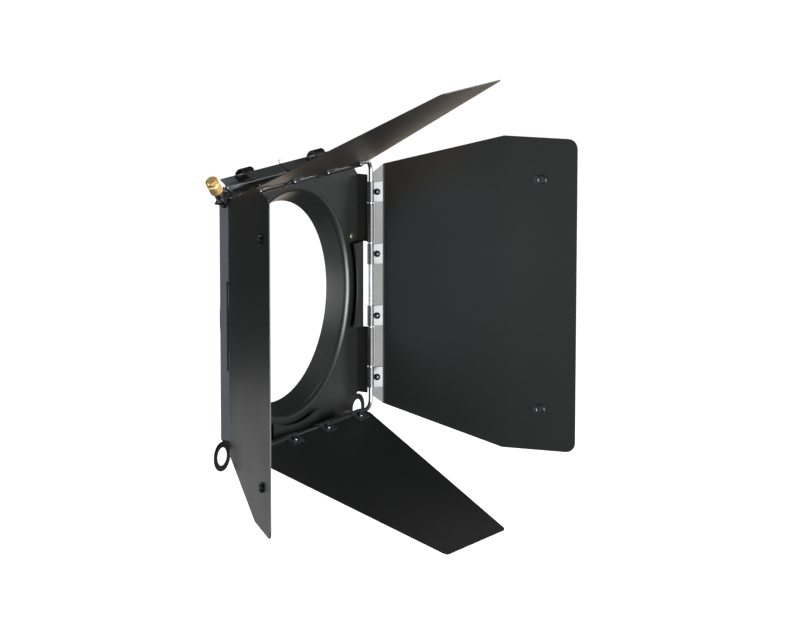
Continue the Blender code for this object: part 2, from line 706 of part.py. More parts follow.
def top_flap():
    low = -FLAP_BARREL + 0.15 * MM
    flap = box((FLAP_LEFT, 0, low), (FLAP_RIGHT, FLAP_REACH, low + FLAP_SHEET))
    union(flap, rod((FLAP_LEFT, 0, 0), (FLAP_RIGHT, 0, 0), FLAP_BARREL))
    cut(flap, rod((FLAP_LEFT - MM, 0, 0), (FLAP_RIGHT + MM, 0, 0), PIN_RADIUS + GAP, 16))
    gap = SPRING_SPACE / 2
    cut(flap, box((SPRING_AT - gap, -4 * MM, -4 * MM), (SPRING_AT + gap, 3.3 * MM, 4 * MM)))
    flap.matrix_world = flap_frame()
    return keep(flap, "top_flap", FLAP_PAINT)


def flap_spring():
    """Torsion spring round the pin, one leg over the flap and one down on the flange."""
    steps = 12
    pitch = 2 * SPRING_WIRE + 0.2 * MM
    first = SPRING_AT - 1.6 * pitch
    place = flap_frame()
    points = [place @ Vector((first, y * MM, z * MM)) for y, z in
              ((12.0, 5.0), (12.9, 4.2), (12.9, 3.0), (11.8, 2.2))]
    start = FLAP_RISE + pi / 2
    count = round((7 * pi - start) / (2 * pi) * steps)
    for i in range(count + 1):
        t = start + (7 * pi - start) * i / count
        x = first + pitch * (t - start) / (2 * pi)
        points.append(Vector((x, -PIN_BEFORE + SPRING_COIL * cos(t), PIN_HEIGHT + SPRING_COIL * sin(t))))
    last = points[-1]
    points.append(Vector((last.x, last.y, FRAME_HALF + GAP + SPRING_WIRE)))
    data = bpy.data.curves.new("spring", "CURVE")
    data.dimensions = "3D"
    data.bevel_depth = SPRING_WIRE
    data.bevel_resolution = 1
    data.use_fill_caps = True
    spline = data.splines.new("POLY")
    spline.points.add(len(points) - 1)
    for spot, point in zip(spline.points, points):
        spot.co = (*point, 1)
    obj = bpy.data.objects.new("spring", data)
    bpy.context.scene.collection.objects.link(obj)
    bpy.context.view_layer.update()
    return keep(curve_to_mesh(obj), "flap_spring", SPRING_STEEL)


def jaw_clip(name, x):
    """Sprung C-shaped jaw on the flap, its mouth to the front and its lips flared."""
    line = [(1.0, 3.3), (2.9, 0.4), (4.3, -0.45), (9.4, -0.45), (11.3, 0.6), (12.3, 3.0),
            (12.2, 6.2), (10.8, 8.6), (8.2, 9.4), (3.6, 7.8), (1.2, 10.4)]
    bm = bmesh.new()
    verts = [bm.verts.new((0, y * MM, z * MM)) for y, z in line]
    edges = [bm.edges.new(pair) for pair in zip(verts, verts[1:])]
    moved = bmesh.ops.extrude_edge_only(bm, edges=edges)
    fresh = [g for g in moved["geom"] if isinstance(g, bmesh.types.BMVert)]
    bmesh.ops.translate(bm, verts=fresh, vec=(JAW_LENGTH, 0, 0))
    clip = thicken(mesh_object("jaw", bm), 0.7 * MM)
    clip.matrix_world = flap_frame() @ Matrix.Translation((x, 0, 0))
    return keep(clip, name, SPRING_STEEL)


# ---------------------------------------------------------------- plunger

def plunger_body():
    """Threaded sleeve fixed in the bracket's tab."""
    bore = PLUNGER_PIN + GAP
    rim = 0.7 * MM
    profile = [(bore, BODY_TO), (BODY_RADIUS - rim, BODY_TO), (BODY_RADIUS, BODY_TO - rim),
               (BODY_RADIUS, BODY_FROM + rim), (BODY_RADIUS - rim, BODY_FROM), (bore, BODY_FROM)]
    return keep(turned(profile, plunger_frame()), "plunger_body", FRAME_PAINT)


def plunger_pin():
    """Pin that slides in the sleeve, ending inside the knob."""
    top = KNOB_HALF - 4 * MM
    bottom = BODY_FROM - 2.5 * MM
    profile = [(0, top), (PLUNGER_PIN, top), (PLUNGER_PIN, bottom + 1 * MM),
               (PLUNGER_PIN - 0.8 * MM, bottom), (0, bottom)]
    return keep(turned(profile, plunger_frame(), 16), "plunger_pin", WIRE_STEEL)


def plunger_knob():
    """Brass knob with two plain bands and a blind hole for the pin."""
    hole = PLUNGER_PIN + GAP
    top = KNOB_HALF
    step = 0.6 * MM
    profile = [(0, top), (KNOB_RADIUS - 1.4 * MM, top), (KNOB_RADIUS, top - 1.4 * MM),
               (KNOB_RADIUS, top - 5 * MM), (KNOB_RADIUS - step, top - 5.4 * MM),
               (KNOB_RADIUS - step, top - 6.6 * MM), (KNOB_RADIUS, top - 7 * MM),
               (KNOB_RADIUS, -top + 1.4 * MM), (KNOB_RADIUS - 1.4 * MM, -top), (hole, -top),
               (hole, top - 3.6 * MM), (0, top - 3.6 * MM)]
    return keep(turned(profile, plunger_frame()), "plunger_knob", BRASS)


# ---------------------------------------------------------------- the whole set

frame_plate()
hinge_wire()
fixed_rivets()
corner_bracket()
flap_pin()
clamp = clamp_mesh()
screw = screw_mesh()

for side, angle in (("right", RIGHT_OPEN), ("left", LEFT_OPEN)):
    place = leaf_place(side, angle + SIDE_FOLD)
    hinge = pivot(f"{side}_hinge", place.translation)
    leaf, panel = side_leaf(f"{side}_leaf", place)
    pieces = [leaf] + hang_leaf(f"{side}_leaf", place, clamp, screw)
    for end, sign in (("upper", 1), ("lower", -1)):
        along = sign * CLIP_HEIGHT if side == "right" else -sign * CLIP_HEIGHT
        spot = panel @ Matrix.Translation((SIDE_STRIP + CLIP_PLACE, along, 0))
        pieces.append(panel_clip(f"{side}_clip_{end}", spot))
    bpy.context.view_layer.update()
    for piece in pieces:
        pose(piece, hinge)

for side, angle in (("top", TOP_OPEN), ("bottom", BOTTOM_OPEN)):
    place = leaf_place(side, angle)
    hinge = pivot(f"{side}_hinge", place.translation)
    pieces = [end_leaf(f"{side}_leaf", place)] + hang_leaf(f"{side}_leaf", place, clamp, screw)
    bpy.context.view_layer.update()
    for piece in pieces:
        pose(piece, hinge)

flap_hinge = pivot("flap_hinge", (0, -PIN_BEFORE, PIN_HEIGHT))
moving = [top_flap(), flap_spring()]
moving += [jaw_clip(f"flap_jaw_{i}", x) for i, x in enumerate(JAW_PLACES, 1)]
bpy.context.view_layer.update()
for piece in moving:
    pose(piece, flap_hinge)

plunger_slide = pivot("plunger_slide", KNOB_CENTRE)
plunger_body()
moving = [plunger_pin(), plunger_knob()]
bpy.context.view_layer.update()
for piece in moving:
    pose(piece, plunger_slide)

for mesh in (clamp, screw):
    bpy.data.meshes.remove(mesh)
bpy.context.view_layer.update()
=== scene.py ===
import json
from math import atan2, cos, pi, radians, sin

import bmesh
import bpy
from mathutils import Matrix, Vector

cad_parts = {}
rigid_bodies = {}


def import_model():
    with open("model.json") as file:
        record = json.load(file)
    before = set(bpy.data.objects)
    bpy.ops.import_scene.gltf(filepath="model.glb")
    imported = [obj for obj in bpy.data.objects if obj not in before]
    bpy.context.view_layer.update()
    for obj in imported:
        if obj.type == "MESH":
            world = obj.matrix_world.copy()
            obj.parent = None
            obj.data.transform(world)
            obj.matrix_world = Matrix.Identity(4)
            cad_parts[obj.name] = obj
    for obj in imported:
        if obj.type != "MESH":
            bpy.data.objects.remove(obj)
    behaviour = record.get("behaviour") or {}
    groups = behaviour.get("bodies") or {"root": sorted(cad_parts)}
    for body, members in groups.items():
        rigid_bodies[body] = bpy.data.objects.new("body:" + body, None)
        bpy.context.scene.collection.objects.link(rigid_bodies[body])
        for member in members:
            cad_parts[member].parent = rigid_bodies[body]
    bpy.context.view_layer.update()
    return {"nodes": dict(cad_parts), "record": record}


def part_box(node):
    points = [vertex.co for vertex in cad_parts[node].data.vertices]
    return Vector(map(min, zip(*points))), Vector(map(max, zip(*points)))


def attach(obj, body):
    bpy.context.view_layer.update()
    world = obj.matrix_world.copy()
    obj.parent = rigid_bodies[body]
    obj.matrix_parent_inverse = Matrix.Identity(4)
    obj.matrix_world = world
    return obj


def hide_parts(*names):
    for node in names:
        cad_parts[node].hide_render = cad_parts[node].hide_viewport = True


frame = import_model()
mm = 0.001
slotOf = {row["node"]: row["material_slot"] for row in frame["record"]["subparts"]}
bodyOf = {node: body for body, nodes in frame["record"]["behaviour"]["bodies"].items() for node in nodes}
jointOf = {joint["name"]: joint for joint in frame["record"]["behaviour"]["joints"]}
print("frame loaded:", len(frame["nodes"]), "nodes")


# ---- colours and shader nodes

def srgb(code):
    # sRGB hex to the linear values that the shader wants
    parts = [int(code[i:i + 2], 16) / 255 for i in (1, 3, 5)]
    return [c / 12.92 if c <= 0.04045 else ((c + 0.055) / 1.055) ** 2.4 for c in parts] + [1]


def addNode(tree, kind, inputs=None, **settings):
    # adds one node; an input is a value or another node's output socket
    node = tree.nodes.new(kind)
    for name, value in settings.items():
        setattr(node, name, value)
    for name, value in (inputs or {}).items():
        if isinstance(value, bpy.types.NodeSocket):
            tree.links.new(value, node.inputs[name])
        else:
            node.inputs[name].default_value = value
    return node


def setRamp(node, stops):
    # colour ramp stops as (position, hex or grey value)
    ramp = node.color_ramp
    while len(ramp.elements) < len(stops):
        ramp.elements.new(0.5)
    for element, (place, value) in zip(ramp.elements, stops):
        element.position = place
        element.color = srgb(value) if isinstance(value, str) else (value, value, value, 1)


def startMaterial(name):
    made = bpy.data.materials.new(name)
    made.use_nodes = True
    tree = made.node_tree
    tree.nodes.clear()
    place = addNode(tree, "ShaderNodeTexCoord")
    out = addNode(tree, "ShaderNodeOutputMaterial")
    return made, tree, place.outputs["Object"], out


# grain is the size of the paint's orange peel, wear the share of rubbed spots
paintLooks = {
    "frame": dict(colour="#101111", worn="#343536", rough=0.36,
                  grain=1.4 * mm, bump=0.10, wear=0.16, shine=0.5),
    "leaf": dict(colour="#0c0d0d", worn="#1d1d1c", rough=0.42,
                 grain=1.1 * mm, bump=0.08, wear=0.20, shine=0.4),
    "clamp": dict(colour="#202124", worn="#55565a", rough=0.27,
                  grain=1.0 * mm, bump=0.05, wear=0.20, shine=0.5),
    "flap": dict(colour="#3a3d3f", worn="#5c6062", rough=0.42,
                 grain=1.4 * mm, bump=0.08, wear=0.22, shine=0.5),
    "sleeve": dict(colour="#141415", worn="#303032", rough=0.38,
                   grain=0.9 * mm, bump=0.06, wear=0.15, shine=0.5),
}


# how far forward and how high the paint is browned near the lamp: partly heat browning, partly a painted
# brownish sheen
heatAndSheenLooks = dict(colour="#5a4a3a", front=-0.13, rear=-0.02, low=0.07, high=0.15)


def paintedSteel(name, look, heat=0.0):
    # stove paint on pressed steel: an even satin skin with fine orange peel, a little
    # uneven in gloss, rubbed lighter in places, and browned near the lamp, partly by heat and partly as a
    # painted brownish sheen.
    # The peel of real paint is about 0.5 mm across; it is drawn twice as coarse to show
    made, tree, where, out = startMaterial(name)
    peel = addNode(tree, "ShaderNodeTexNoise", {"Vector": where, "Scale": 1 / look["grain"], "Detail": 3.0,
                                                "Roughness": 0.6})
    cloud = addNode(tree, "ShaderNodeTexNoise", {"Vector": where, "Scale": 1 / (55 * mm), "Detail": 4.0,
                                                 "Roughness": 0.55})
    rub = addNode(tree, "ShaderNodeTexNoise", {"Vector": where, "Scale": 1 / (9 * mm), "Detail": 6.0,
                                               "Roughness": 0.7})
    patch = addNode(tree, "ShaderNodeValToRGB", {"Fac": rub.outputs["Fac"]})
    setRamp(patch, [(0.55, 0.0), (0.78, 1.0)])
    share = addNode(tree, "ShaderNodeMath", {0: patch.outputs["Color"], 1: look["wear"]},
                    operation="MULTIPLY")
    colour = addNode(tree, "ShaderNodeMix", {"Factor": share.outputs[0], "A": srgb(look["colour"]),
                                             "B": srgb(look["worn"])}, data_type="RGBA")
    base = colour.outputs["Result"]
    if heat:
        # the browning sits above the aperture, close to the lamp: partly heat browning, partly painted
        # brownish sheen
        spot = addNode(tree, "ShaderNodeSeparateXYZ", {"Vector": where})
        near = addNode(tree, "ShaderNodeMapRange", {"Value": spot.outputs["Y"],
                                                    "From Min": heatAndSheenLooks["front"],
                                                    "From Max": heatAndSheenLooks["rear"], "To Max": heat})
        high = addNode(tree, "ShaderNodeMapRange", {"Value": spot.outputs["Z"],
                                                    "From Min": heatAndSheenLooks["low"],
                                                    "From Max": heatAndSheenLooks["high"]})
        both = addNode(tree, "ShaderNodeMath", {0: near.outputs[0], 1: high.outputs[0]},
                       operation="MULTIPLY")
        mottled = addNode(tree, "ShaderNodeMath", {0: both.outputs[0], 1: cloud.outputs["Fac"]},
                          operation="MULTIPLY")
        browningAndSheen = addNode(tree, "ShaderNodeMix", {"Factor": mottled.outputs[0], "A": base,
                                                "B": srgb(heatAndSheenLooks["colour"])}, data_type="RGBA")
        base = browningAndSheen.outputs["Result"]
    gloss = addNode(tree, "ShaderNodeMapRange", {"Value": cloud.outputs["Fac"], "From Min": 0.3,
                                                 "From Max": 0.7, "To Min": look["rough"] - 0.02,
                                                 "To Max": look["rough"] + 0.02})
    bump = addNode(tree, "ShaderNodeBump", {"Height": peel.outputs["Fac"], "Strength": look["bump"],
                                            "Distance": 0.1 * mm})
    skin = addNode(tree, "ShaderNodeBsdfPrincipled", {"Base Color": base, "Roughness": gloss.outputs[0],
                                                      "Normal": bump.outputs["Normal"], "IOR": 1.5,
                                                      "Specular IOR Level": look["shine"]})
    tree.links.new(skin.outputs[0], out.inputs["Surface"])
    return made


metalLooks = {
    "wire": dict(colour="#7d7f83", rough=0.30, streak=0.08),
    "screw": dict(colour="#4c4d50", rough=0.28, streak=0.06),
    "spring": dict(colour="#2e2f31", rough=0.34, streak=0.08),
}


def drawnSteel(name, look):
    # drawn and blackened steel: a dark metal whose oxide is thinner in spots
    made, tree, where, out = startMaterial(name)
    marks = addNode(tree, "ShaderNodeTexNoise", {"Vector": where, "Scale": 1 / (1.5 * mm), "Detail": 5.0,
                                                 "Roughness": 0.7})
    spots = addNode(tree, "ShaderNodeTexNoise", {"Vector": where, "Scale": 1 / (14 * mm), "Detail": 3.0})
    gloss = addNode(tree, "ShaderNodeMapRange", {"Value": marks.outputs["Fac"], "From Min": 0.3,
                                                 "From Max": 0.7, "To Min": look["rough"] - look["streak"],
                                                 "To Max": look["rough"] + look["streak"]})
    tint = addNode(tree, "ShaderNodeMapRange", {"Value": spots.outputs["Fac"], "From Min": 0.3,
                                                "From Max": 0.7, "To Min": 0.0, "To Max": 0.35})
    dark = [c * 0.55 for c in srgb(look["colour"])[:3]] + [1]
    colour = addNode(tree, "ShaderNodeMix", {"Factor": tint.outputs[0], "A": srgb(look["colour"]),
                                             "B": dark}, data_type="RGBA")
    bump = addNode(tree, "ShaderNodeBump", {"Height": marks.outputs["Fac"], "Strength": 0.06,
                                            "Distance": 0.05 * mm})
    skin = addNode(tree, "ShaderNodeBsdfPrincipled", {"Base Color": colour.outputs["Result"],
                                                      "Metallic": 1.0, "Roughness": gloss.outputs[0],
                                                      "Normal": bump.outputs["Normal"]})
    tree.links.new(skin.outputs[0], out.inputs["Surface"])
    return made


brassLooks = {
    "knob": dict(tones=("#d29a4c", "#efc880", "#fbe8b8"), metal=0.8, rough=0.34, blotch=3.2 * mm),
    "rivet": dict(tones=("#4a4640", "#6a6458", "#857d6c"), metal=1.0, rough=0.5, blotch=2.0 * mm),
}


def turnedBrass(name, look):
    # brass from the lathe: duller and browner where it has tarnished, paler where it is handled
    made, tree, where, out = startMaterial(name)
    stain = addNode(tree, "ShaderNodeTexNoise", {"Vector": where, "Scale": 1 / look["blotch"], "Detail": 4.0,
                                                 "Roughness": 0.6})
    tone = addNode(tree, "ShaderNodeValToRGB", {"Fac": stain.outputs["Fac"]})
    setRamp(tone, list(zip((0.34, 0.50, 0.66), look["tones"])))
    gloss = addNode(tree, "ShaderNodeMapRange", {"Value": stain.outputs["Fac"], "From Min": 0.3,
                                                 "From Max": 0.7, "To Min": look["rough"] + 0.1,
                                                 "To Max": look["rough"] - 0.08})
    skin = addNode(tree, "ShaderNodeBsdfPrincipled", {"Base Color": tone.outputs["Color"],
                                                      "Metallic": look["metal"],
                                                      "Roughness": gloss.outputs[0]})
    tree.links.new(skin.outputs[0], out.inputs["Surface"])
    return made


finishes = {
    "frame_paint": paintedSteel("satin black stove paint", paintLooks["frame"]),
    # the leaf paint's browning near the lamp is partly heat browning and partly painted brownish sheen
    "leaf_paint": paintedSteel("matt black heat paint", paintLooks["leaf"], heat=0.3),
    "clamp_paint": paintedSteel("black dipped strip steel", paintLooks["clamp"]),
    "clip_paint": paintedSteel("black painted clip steel", paintLooks["clamp"]),
    "flap_paint": paintedSteel("grey phosphated sheet steel", paintLooks["flap"]),
    "sleeve_black": paintedSteel("black oxide sleeve", paintLooks["sleeve"]),
    "wire_steel": drawnSteel("blackened drawn wire", metalLooks["wire"]),
    "screw_steel": drawnSteel("black oxide screw steel", metalLooks["screw"]),
    "spring_steel": drawnSteel("blued spring wire", metalLooks["spring"]),
    "jaw_steel": drawnSteel("blued spring strip", metalLooks["spring"]),
    "rivet_brass": turnedBrass("tarnished brass rivet", brassLooks["rivet"]),
    "knob_brass": turnedBrass("knurled lacquered brass", brassLooks["knob"]),
}
print("materials made:", len(finishes))


# ---- helpers for pieces

def finishPiece(bm, node, angle=32):
    # turns a bmesh into the piece that stands for a node, smooth except at its sharp edges
    mesh = bpy.data.meshes.new(node + "_finished")
    bm.to_mesh(mesh)
    bm.free()
    mesh.shade_smooth()
    mesh.set_sharp_from_angle(angle=radians(angle))
    piece = bpy.data.objects.new(node + "_finished", mesh)
    bpy.context.scene.collection.objects.link(piece)
    piece.data.materials.append(finishes[slotOf[node]])
    flatten = piece.modifiers.new("keep the flats flat", "WEIGHTED_NORMAL")
    flatten.keep_sharp = True
    flatten.weight = 80
    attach(piece, bodyOf[node])
    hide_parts(node)
    return piece


def mergedCopy(node):
    # the CAD solid with its loose triangles merged and its flat faces made whole
    bm = bmesh.new()
    bm.from_mesh(frame["nodes"][node].data)
    bmesh.ops.remove_doubles(bm, verts=bm.verts, dist=0.002 * mm)
    bmesh.ops.dissolve_limit(bm, angle_limit=radians(0.8), verts=bm.verts, edges=bm.edges)
    return bm


def sharpEdges(bm, least):
    return [e for e in bm.edges if len(e.link_faces) == 2 and e.calc_face_angle(0) > radians(least)]


def roundEdges(bm, edges, width, segments=2):
    return bmesh.ops.bevel(bm, geom=edges, offset=width, offset_type="OFFSET", affect="EDGES",
                           segments=segments, profile=0.5, material=-1, clamp_overlap=True)


def boxCentre(node):
    low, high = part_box(node)
    return (Vector(low) + Vector(high)) / 2


def turnProfile(bm, profile, steps):
    # spins (radius, height) points about Z; points on the axis close the ends
    ring = [bm.verts.new((radius, 0, height)) for radius, height in profile]
    edges = [bm.edges.new(pair) for pair in zip(ring, ring[1:])]
    bmesh.ops.spin(bm, geom=ring + edges, cent=(0, 0, 0), axis=(0, 0, 1), angle=2 * pi, steps=steps,
                   use_merge=True)
    bmesh.ops.remove_doubles(bm, verts=bm.verts, dist=0.002 * mm)
    bmesh.ops.recalc_face_normals(bm, faces=bm.faces)


def placed(bm, matrix):
    bmesh.ops.transform(bm, matrix=matrix, verts=bm.verts)
    return bm


# ---- where the leaves lie, read from their CAD solids

def middle(points):
    return sum(points, Vector()) / len(points)


def leafFrame(side):
    # X away from the hinge along the root strip, Y along the hinge, Z towards the beam
    joint = jointOf[side + "_leaf_hinge"]
    origin = Vector(joint["pos_m"])
    along = Vector(joint["axis"])
    offsets = [v.co - origin for v in frame["nodes"][side + "_leaf"].data.vertices]
    across = [o - along * o.dot(along) for o in offsets]
    away = middle([a for a in across if a.length < leafLooks["rootReach"]]).normalized()
    inner = along.cross(away)
    if inner.dot(Vector((origin.x, 0, origin.z))) > 0:
        inner = -inner
    place = Matrix((away, inner.cross(away), inner)).transposed().to_4x4()
    place.translation = origin
    return place


def panelFrame(side):
    # the same for the flared panel beyond the crease, with its origin at the crease
    place = leafFrame(side)
    local = [place.inverted() @ v.co for v in frame["nodes"][side + "_leaf"].data.vertices]
    far = middle([p for p in local if p.x > max(q.x for q in local) - 12 * mm])
    knee = middle([p for p in local if 0.4 * far.x < p.x < 0.8 * far.x])
    away = Vector((far.x - knee.x, 0, far.z - knee.z)).normalized()
    inner = away.cross(Vector((0, 1, 0)))
    turned = Matrix((away, (0, 1, 0), inner)).transposed().to_4x4()
    turned.translation = Vector((knee.x, 0, knee.z))
    return place @ turned


leafLooks = dict(rootReach=9 * mm, sheet=1.0 * mm, hem=0.28 * mm, crease=1.6 * mm, creaseSteps=5)


def finishLeaf(side):
    # broken edges all round, and a rounded bend at the crease of a flared leaf
    node = side + "_leaf"
    bm = mergedCopy(node)
    bends = [e for e in bm.edges if len(e.link_faces) == 2
             and radians(30) < e.calc_face_angle(0) < radians(60) and e.calc_length() > 100 * mm]
    if bends:
        roundEdges(bm, bends, leafLooks["crease"], leafLooks["creaseSteps"])
    rims = sharpEdges(bm, 70)
    roundEdges(bm, rims, leafLooks["hem"])
    finishPiece(bm, node)


for side in ("right", "left", "top", "bottom"):
    finishLeaf(side)
print("leaves finished")


# ---- hinge wire: one rod, bent to a square and butted in the middle of a side

wireLooks = dict(radius=2 * mm, bend=9 * mm, sides=28, bendSteps=14)


def finishWire():
    half = abs(jointOf["right_leaf_hinge"]["pos_m"][0])
    before = jointOf["right_leaf_hinge"]["pos_m"][1]
    straight = half - wireLooks["bend"]
    bm = bmesh.new()
    start = bmesh.ops.create_circle(bm, segments=wireLooks["sides"], radius=wireLooks["radius"],
                                    matrix=Matrix.Translation((half, before, -straight)))
    ends = list({e for v in start["verts"] for e in v.link_edges})
    for turn in range(4):
        step = Matrix.Rotation(-turn * pi / 2, 3, "Y")
        ends = extend(bm, ends, step @ Vector((0, 0, 2 * straight)))
        spun = bmesh.ops.spin(bm, geom=ends, cent=step @ Vector((straight, before, straight)),
                              axis=(0, -1, 0), angle=pi / 2, steps=wireLooks["bendSteps"])
        ends = [g for g in spun["geom_last"] if isinstance(g, bmesh.types.BMEdge)]
    bmesh.ops.remove_doubles(bm, verts=bm.verts, dist=0.01 * mm)
    bmesh.ops.recalc_face_normals(bm, faces=bm.faces)
    finishPiece(bm, "hinge_wire", angle=60)


def extend(bm, edges, reach):
    # pulls a ring of edges out into a tube and gives back the new ring
    moved = bmesh.ops.extrude_edge_only(bm, edges=edges)["geom"]
    bmesh.ops.translate(bm, vec=reach, verts=[g for g in moved if isinstance(g, bmesh.types.BMVert)])
    return [g for g in moved if isinstance(g, bmesh.types.BMEdge)]


finishWire()
print("wire bent")


# ---- dome screws with a cross recess and a hexagon nut, and the clamps they close

screwLooks = dict(head=3.2 * mm, skirt=0.2 * mm, dome=2.4 * mm, shank=1.5 * mm, seat=1.9 * mm,
                  nutAcross=4.5 * mm, nutTall=1.7 * mm, tip=0.6 * mm, recess=0.8 * mm, steps=32)


def screwShape():
    # local Z runs from the nut to the head, with zero at the middle of the sheet
    look = screwLooks
    bm = bmesh.new()
    base = look["seat"]
    rise = [i * pi / 16 for i in range(8, -1, -1)]
    profile = [(look["shank"], -base - look["nutTall"]), (look["shank"], base), (look["head"], base)]
    profile += [(look["head"] * sin(t), base + look["skirt"] + look["dome"] * cos(t)) for t in rise]
    turnProfile(bm, profile, look["steps"])
    cross = [f for f in bm.faces if inRecess(f.calc_center_median())]
    bmesh.ops.inset_region(bm, faces=cross, thickness=0.12 * mm, depth=-look["recess"],
                           use_boundary=True, use_even_offset=True)
    nut = bmesh.ops.create_cone(bm, cap_ends=True, segments=6, radius1=look["nutAcross"] / 2 / cos(pi / 6),
                                radius2=look["nutAcross"] / 2 / cos(pi / 6), depth=look["nutTall"],
                                matrix=Matrix.Translation((0, 0, -base - look["nutTall"] / 2)))
    corners = list({e for v in nut["verts"] for e in v.link_edges})
    roundEdges(bm, corners, 0.25 * mm)
    bmesh.ops.create_cone(bm, cap_ends=True, segments=look["steps"], radius1=look["shank"] * 0.8,
                          radius2=look["shank"], depth=look["tip"],
                          matrix=Matrix.Translation((0, 0, -base - look["nutTall"] - look["tip"] / 2)))
    return bm


def inRecess(centre):
    # a cross of four arms in the top of the dome
    reach = Vector((centre.x, centre.y)).length
    if centre.z < screwLooks["seat"] + screwLooks["skirt"] or reach > 0.55 * screwLooks["head"]:
        return False
    off = (atan2(centre.y, centre.x) + pi / 4) % (pi / 2) - pi / 4
    return reach < 0.2 * screwLooks["head"] or abs(off) < radians(13)


def finishScrews(side):
    place = leafFrame(side)
    for number in range(1, 5):
        node = f"{side}_leaf_screw_{number}"
        spot = place.inverted() @ boxCentre(node)
        turn = Matrix.Rotation(radians(25 + 67 * number), 4, "Z")
        bm = placed(screwShape(), place @ Matrix.Translation((spot.x, spot.y, 0)) @ turn)
        finishPiece(bm, node)


clampLooks = dict(edge=0.22 * mm)


def finishClamps(side):
    for number in range(1, 5):
        node = f"{side}_leaf_clamp_{number}"
        bm = mergedCopy(node)
        roundEdges(bm, sharpEdges(bm, 50), clampLooks["edge"])
        finishPiece(bm, node)


for side in ("right", "left", "top", "bottom"):
    finishScrews(side)
    finishClamps(side)
print("screws and clamps finished")


# ---- pull plunger: knurled brass knob on a threaded sleeve

knobLooks = dict(radius=5.7 * mm, half=8.2 * mm, knurl=0.28 * mm, diamonds=26, rows=14, neck=0.7 * mm,
                 rim=1.2 * mm, hole=2.1 * mm)


def plungerFrame(node):
    axis = Vector(jointOf["plunger_slide"]["axis"]).normalized()
    turn = Vector((0, 0, 1)).rotation_difference(axis).to_matrix().to_4x4()
    return Matrix.Translation(boxCentre(node)) @ turn


def finishKnob():
    look = knobLooks
    top = look["half"]
    band = top - look["rim"]
    rows = [(look["radius"], band - 2 * band * i / look["rows"]) for i in range(look["rows"] + 1)]
    waist = look["rows"] // 3
    rows[waist] = (look["radius"] - look["neck"], rows[waist][1])
    profile = [(0, top), (look["radius"] - look["rim"], top)] + rows
    profile += [(look["radius"] - look["rim"], -top), (look["hole"], -top), (look["hole"], -band),
                (0, -band)]
    bm = bmesh.new()
    turnProfile(bm, profile, 4 * look["diamonds"])
    pitch = 2 * band / look["rows"]
    for v in bm.verts:
        radius = Vector((v.co.x, v.co.y)).length
        if radius > look["radius"] - 0.1 * mm and abs(v.co.z) < band - 0.1 * mm:
            # crossed ridges: each point stands out where both sets of grooves miss it
            wave = atan2(v.co.y, v.co.x) * look["diamonds"]
            slant = pi * v.co.z / pitch
            grow = look["knurl"] * (cos(wave + slant) + cos(wave - slant)) / 2
            v.co.x *= 1 + grow / radius
            v.co.y *= 1 + grow / radius
    finishPiece(placed(bm, plungerFrame("plunger_knob")), "plunger_knob", angle=40)


sleeveLooks = dict(radius=3.9 * mm, bore=2.1 * mm, pitch=1.0 * mm, depth=0.35 * mm,
                   collarTall=3.2 * mm)


def finishSleeve():
    # screw thread below and a plain collar under the knob
    look = sleeveLooks
    place = plungerFrame("plunger_body")
    local = [place.inverted() @ v.co for v in frame["nodes"]["plunger_body"].data.vertices]
    half = max(p.z for p in local)
    outer = look["radius"]
    profile = [(look["bore"], half), (outer - 0.5 * mm, half), (outer, half - 0.5 * mm),
               (outer, half - look["collarTall"])]
    level = half - look["collarTall"] - look["pitch"] / 2
    while level > -half + look["pitch"]:
        profile.append((outer - look["depth"], level))
        profile.append((outer, level - look["pitch"] / 2))
        level -= look["pitch"]
    profile += [(outer - look["depth"], -half), (look["bore"], -half), (look["bore"], half)]
    bm = bmesh.new()
    turnProfile(bm, profile, 40)
    finishPiece(placed(bm, place), "plunger_body", angle=50)


finishKnob()
finishSleeve()
print("plunger finished")


# ---- clips on the side leaves: dished rivet and tab inside, strip with a stepped hub outside

clipLooks = dict(tabLong=13 * mm, tabWide=8 * mm, tabCorner=3.6 * mm, tabShift=-2.5 * mm,
                 sheet=1.0 * mm, dish=4.5 * mm, dishTall=2.5 * mm, dishFloor=1.3 * mm, lip=0.2 * mm,
                 pip=1.2 * mm, stripLong=36 * mm, stripWide=11 * mm, stripCorner=3 * mm,
                 stripSheet=1.2 * mm, hub=4.2 * mm, hubTall=2.9 * mm, hubEdge=0.3 * mm,
                 step=3.5 * mm, stepTall=4.6 * mm, stepEdge=0.4 * mm, shank=1.5 * mm, gap=0.8 * mm,
                 steps=36)


def roundedPlate(bm, long, wide, corner, low, high, matrix):
    # flat plate with round corners: a cube squeezed to size, its upright edges bevelled
    centre = Matrix.Translation((0, 0, (low + high) / 2))
    cube = bmesh.ops.create_cube(bm, size=1, matrix=centre @ Matrix.Diagonal((long, wide, high - low, 1)))
    uprights = [e for e in {e for v in cube["verts"] for e in v.link_edges}
                if abs(e.verts[0].co.z - e.verts[1].co.z) > 0.5 * (high - low)]
    bent = bmesh.ops.bevel(bm, geom=uprights, offset=corner, offset_type="OFFSET", affect="EDGES",
                           segments=7, profile=0.5, material=-1, clamp_overlap=True)
    made = {v for f in bent["faces"] for v in f.verts}
    rims = [e for e in {e for v in made for f in v.link_faces for e in f.edges}
            if abs(e.verts[0].co.z - e.verts[1].co.z) < 0.01 * mm]
    softened = roundEdges(bm, rims, 0.22 * mm)
    made = {v for f in softened["faces"] for v in f.verts}
    bmesh.ops.transform(bm, matrix=matrix, verts=list(made))


def dishProfile(look):
    # inner end of the rivet: a pip in the middle of a dish with a rounded lip
    floor = look["gap"] + look["dishFloor"]
    rim = look["gap"] + look["dishTall"]
    dish = look["dish"]
    return [(0, rim - 0.3 * mm), (look["pip"] * 0.7, rim - 0.5 * mm), (look["pip"], floor),
            (dish * 0.66, floor), (dish * 0.80, rim - look["lip"]), (dish * 0.87, rim),
            (dish * 0.95, rim - look["lip"]), (dish, floor), (dish, look["gap"])]


